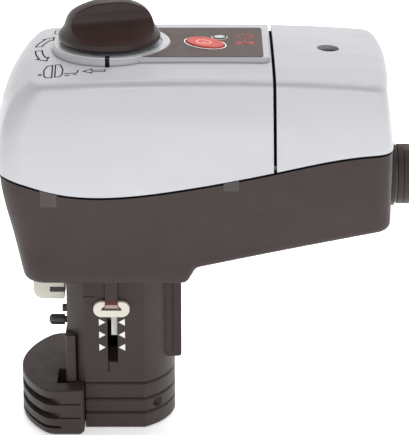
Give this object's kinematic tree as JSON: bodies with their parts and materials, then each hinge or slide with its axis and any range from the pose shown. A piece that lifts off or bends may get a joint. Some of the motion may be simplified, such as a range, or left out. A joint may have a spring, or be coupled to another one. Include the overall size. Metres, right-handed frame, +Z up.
{
  "type": "motorized valve actuator",
  "caption": "Motorized globe valve actuator: silver casing on a dark housing, manual knob, function button, cable entry, and a yoke with stroke scale and neck clamp.",
  "frame": {"origin": "on the valve stem's axis, level with the underside of the foot", "axes": "+Z up along the stem and the spindle, +X along the casing towards the cable entry, +Y to the back of the casing"},
  "size_m": [0.1732, 0.09, 0.185],
  "materials": {
    "silver_paint": "satin metallic",
    "dark_plastic": "fine grained",
    "catch_plastic": "fine grained",
    "knob_plastic": "satin",
    "label_film": "printed film",
    "ring_aluminium": "satin",
    "button_red": "smooth",
    "white_plastic": "smooth",
    "ivory_plastic": "smooth",
    "black_plastic": "moulded",
    "black_rubber": "matte",
    "clear_lens": "frosted",
    "lamp_red": "smooth",
    "board_green": "solder mask",
    "capacitor_sleeve": "sleeved",
    "terminal_green": "moulded",
    "gear_plastic": "moulded",
    "screw_steel": "zinc plated",
    "dark_steel": "blackened",
    "spindle_steel": "ground",
    "zinc_plate": "zinc plated sheet",
    "motor_can": "drawn can",
    "brass": "machined"
  },
  "bodies": {
    "casing": {"lower_housing": "dark_plastic", "cover_catches": "catch_plastic", "main_cover": "silver_paint", "terminal_cover": "silver_paint", "terminal_cover_screw": "dark_steel", "cover_screws": "screw_steel", "housing_seal": "black_rubber", "label_panel": "label_film", "scale_ring": "ring_aluminium", "button_dome": "black_rubber", "tact_switch": "black_plastic", "status_lens": "clear_lens", "status_lamp": "lamp_red", "lens_bezel": "black_plastic", "circuit_board": "board_green", "board_posts": "screw_steel", "capacitors": "capacitor_sleeve", "terminal_board": "board_green", "terminal_block": "terminal_green", "terminal_screws": "screw_steel", "gland_body": "black_plastic", "gland_cap": "dark_plastic", "gland_grommet": "black_rubber", "gland_locknut": "black_plastic", "yoke": "dark_plastic", "stroke_marks": "white_plastic", "yoke_screws": "screw_steel", "guide_screw": "dark_steel", "plunger_bush": "brass", "plunger_spring": "screw_steel", "release_spring": "screw_steel", "guide_bush": "brass", "idler_pin": "screw_steel", "gear_motor": "motor_can", "lower_bearing": "screw_steel", "upper_bearing": "screw_steel", "lower_gear_plate": "zinc_plate", "upper_gear_plate": "zinc_plate", "pillars": "zinc_plate", "frame_screws": "screw_steel", "limit_switches": "black_plastic", "knob_seal": "black_rubber"},
    "clamp_jaw": {"clamp_jaw": "dark_plastic"},
    "clamp_screw_front": {"clamp_screw_front": "dark_steel"},
    "clamp_screw_back": {"clamp_screw_back": "dark_steel"},
    "lock_plunger": {"lock_plunger": "dark_steel"},
    "release_button": {"release_button": "ivory_plastic"},
    "function_button": {"function_button": "button_red"},
    "spindle": {"spindle": "spindle_steel", "stem_connector": "brass", "indicator_carrier": "knob_plastic", "position_bar": "white_plastic", "indicator_clip": "ivory_plastic"},
    "drive": {"output_gear": "gear_plastic", "drive_nut": "brass", "knob_shaft": "screw_steel", "knob": "knob_plastic"},
    "idler": {"idler_gear": "gear_plastic"},
    "motor_shaft": {"motor_pinion": "brass"}
  },
  "joints": [
    {"name": "knob_turn", "type": "hinge", "parent": "casing", "child": "drive", "pos_m": [0, 0, 0.1], "axis": [0, 0, 1], "range_deg": [0, 1800]},
    {"name": "spindle_travel", "type": "slide", "parent": "casing", "child": "spindle", "axis": [0, 0, -1], "range_m": [0, 0.02]},
    {"name": "idler_turn", "type": "hinge", "parent": "casing", "child": "idler", "pos_m": [0.03383, -0.01231, 0.1], "axis": [0, 0, 1], "range_deg": [-9000, 0]},
    {"name": "motor_turn", "type": "hinge", "parent": "casing", "child": "motor_shaft", "pos_m": [0.05349, 0.00145, 0.1], "axis": [0, 0, 1], "range_deg": [0, 27000]},
    {"name": "function_button_press", "type": "slide", "parent": "casing", "child": "function_button", "axis": [0, 0, -1], "range_m": [0, 0.0008], "stiffness_N_per_m": 800, "springref_m": -0.002, "deforming": ["button_dome"]},
    {"name": "release_button_press", "type": "slide", "parent": "casing", "child": "release_button", "axis": [0, 0, 1], "range_m": [0, 0.003], "stiffness_N_per_m": 800, "springref_m": -0.003, "deforming": ["release_spring"]},
    {"name": "lock_plunger_pull", "type": "slide", "parent": "casing", "child": "lock_plunger", "axis": [-1, 0, 0], "range_m": [0, 0.003], "stiffness_N_per_m": 500, "springref_m": -0.003, "deforming": ["plunger_spring"]},
    {"name": "clamp_jaw_slide", "type": "slide", "parent": "casing", "child": "clamp_jaw", "axis": [-1, 0, 0], "range_m": [0, 0.0021]},
    {"name": "clamp_screw_front_turn", "type": "hinge", "parent": "casing", "child": "clamp_screw_front", "pos_m": [0, -0.0176, 0.0104], "axis": [1, 0, 0], "range_deg": [-1081, 0]},
    {"name": "clamp_screw_back_turn", "type": "hinge", "parent": "casing", "child": "clamp_screw_back", "pos_m": [0, 0.0176, 0.0104], "axis": [1, 0, 0], "range_deg": [-1081, 0]}
  ],
  "couplings": [
    {"joint": "spindle_travel", "follows": "knob_turn", "m_per_rad": 0.00063662},
    {"joint": "idler_turn", "follows": "knob_turn", "ratio": -5},
    {"joint": "motor_turn", "follows": "knob_turn", "ratio": 15},
    {"joint": "clamp_screw_front_turn", "follows": "clamp_jaw_slide", "rad_per_m": -8976},
    {"joint": "clamp_screw_back_turn", "follows": "clamp_jaw_slide", "rad_per_m": -8976}
  ]
}
